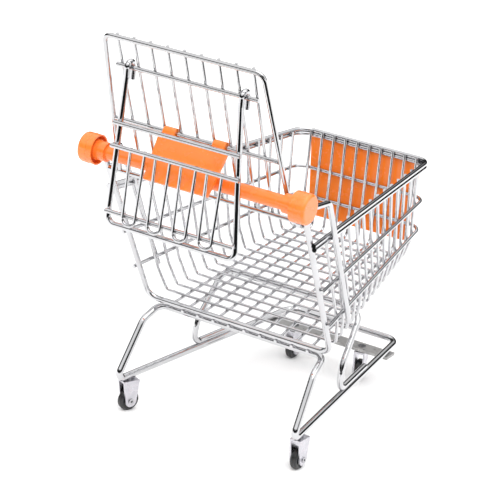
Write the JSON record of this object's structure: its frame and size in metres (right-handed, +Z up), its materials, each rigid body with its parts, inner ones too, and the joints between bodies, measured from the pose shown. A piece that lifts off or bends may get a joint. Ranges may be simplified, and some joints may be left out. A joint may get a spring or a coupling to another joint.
{
  "type": "shopping cart",
  "caption": "Miniature wire shopping cart with a tapered mesh basket, swivelling casters, orange handle, raised rear gate, hanging wire panel and seat flap",
  "frame": {"origin": "bottom centre of the bounding box, on the floor between the wheels", "axes": "+X the way the cart rolls, +Y its left side, +Z up; the gate is raised, the panel hangs, the casters stand a little swivelled"},
  "size_m": [0.1956, 0.1224, 0.2089],
  "materials": {
    "frame_chrome": "bright plated steel wire",
    "basket_chrome": "bright plated steel wire",
    "gate_chrome": "bright plated steel wire",
    "panel_chrome": "bright plated steel wire",
    "plate_steel": "dull grey zinc-plated strip",
    "fork_steel": "bright pressed steel",
    "rivet_steel": "bright tubular rivet",
    "orange_plastic": "glossy moulded orange",
    "orange_plate": "glossy moulded orange",
    "orange_seat": "glossy moulded orange",
    "wheel_black": "moulded black"
  },
  "bodies": {
    "cart": {"chassis_frame": "frame_chrome", "front_leg_frame": "frame_chrome", "cross_plate": "plate_steel", "rear_frame": "frame_chrome", "top_rim_upper": "basket_chrome", "top_rim_lower": "basket_chrome", "basket_floor": "basket_chrome", "basket_left_side": "basket_chrome", "basket_right_side": "basket_chrome", "basket_front": "basket_chrome", "side_wire_left": "frame_chrome", "side_wire_right": "frame_chrome", "handle_bar": "orange_plastic", "knob_left": "orange_plastic", "knob_right": "orange_plastic", "sign_plate": "orange_plate", "rear_kingpin_left": "rivet_steel", "rear_kingpin_right": "rivet_steel", "front_kingpin_left": "rivet_steel", "front_kingpin_right": "rivet_steel", "hinge_eye_left": "frame_chrome", "hinge_eye_right": "frame_chrome"},
    "gate": {"gate_frame": "gate_chrome", "gate_bars": "gate_chrome", "gate_hinge_rod": "gate_chrome", "gate_upper_wire": "gate_chrome", "gate_lower_wire": "gate_chrome"},
    "hanging_panel": {"panel_frame": "panel_chrome", "panel_cross_wires": "panel_chrome", "panel_loops": "panel_chrome"},
    "seat_flap": {"seat_flap": "orange_seat"},
    "rear_caster_left": {"rear_fork_left": "fork_steel", "rear_axle_left": "rivet_steel"},
    "rear_caster_right": {"rear_fork_right": "fork_steel", "rear_axle_right": "rivet_steel"},
    "rear_wheel_left": {"rear_wheel_left": "wheel_black"},
    "rear_wheel_right": {"rear_wheel_right": "wheel_black"},
    "front_caster_left": {"front_fork_left": "fork_steel", "front_axle_left": "rivet_steel"},
    "front_caster_right": {"front_fork_right": "fork_steel", "front_axle_right": "rivet_steel"},
    "front_wheel_left": {"front_wheel_left": "wheel_black"},
    "front_wheel_right": {"front_wheel_right": "wheel_black"}
  },
  "joints": [
    {"name": "gate_hinge", "type": "hinge", "parent": "cart", "child": "gate", "pos_m": [-0.06573, 0, 0.13405], "axis": [0, 1, 0], "range_deg": [0, 160]},
    {"name": "panel_hinge", "type": "hinge", "parent": "gate", "child": "hanging_panel", "pos_m": [-0.09018, 0, 0.19325], "axis": [0, 1, 0], "range_deg": [0, 95]},
    {"name": "seat_hinge", "type": "hinge", "parent": "gate", "child": "seat_flap", "pos_m": [-0.07799, 0, 0.16375], "axis": [0, 1, 0], "range_deg": [-12, 0]},
    {"name": "rear_swivel_left", "type": "hinge", "parent": "cart", "child": "rear_caster_left", "pos_m": [-0.03862, 0.04955, 0.01255], "axis": [0, 0, 1], "continuous": true},
    {"name": "rear_wheel_spin_left", "type": "hinge", "parent": "rear_caster_left", "child": "rear_wheel_left", "pos_m": [-0.03826, 0.04938, 0.0055], "axis": [0.4226, 0.9063, 0], "continuous": true},
    {"name": "front_swivel_left", "type": "hinge", "parent": "cart", "child": "front_caster_left", "pos_m": [0.07823, 0.0205, 0.01255], "axis": [0, 0, 1], "continuous": true},
    {"name": "front_wheel_spin_left", "type": "hinge", "parent": "front_caster_left", "child": "front_wheel_left", "pos_m": [0.07863, 0.02046, 0.0055], "axis": [0.1045, 0.9945, 0], "continuous": true},
    {"name": "rear_swivel_right", "type": "hinge", "parent": "cart", "child": "rear_caster_right", "pos_m": [-0.03862, -0.04955, 0.01255], "axis": [0, 0, 1], "continuous": true},
    {"name": "rear_wheel_spin_right", "type": "hinge", "parent": "rear_caster_right", "child": "rear_wheel_right", "pos_m": [-0.03822, -0.04957, 0.0055], "axis": [0.0349, 0.9994, 0], "continuous": true},
    {"name": "front_swivel_right", "type": "hinge", "parent": "cart", "child": "front_caster_right", "pos_m": [0.07823, -0.0205, 0.01255], "axis": [0, 0, 1], "continuous": true},
    {"name": "front_wheel_spin_right", "type": "hinge", "parent": "front_caster_right", "child": "front_wheel_right", "pos_m": [0.07862, -0.02042, 0.0055], "axis": [-0.2079, 0.9781, 0], "continuous": true}
  ]
}
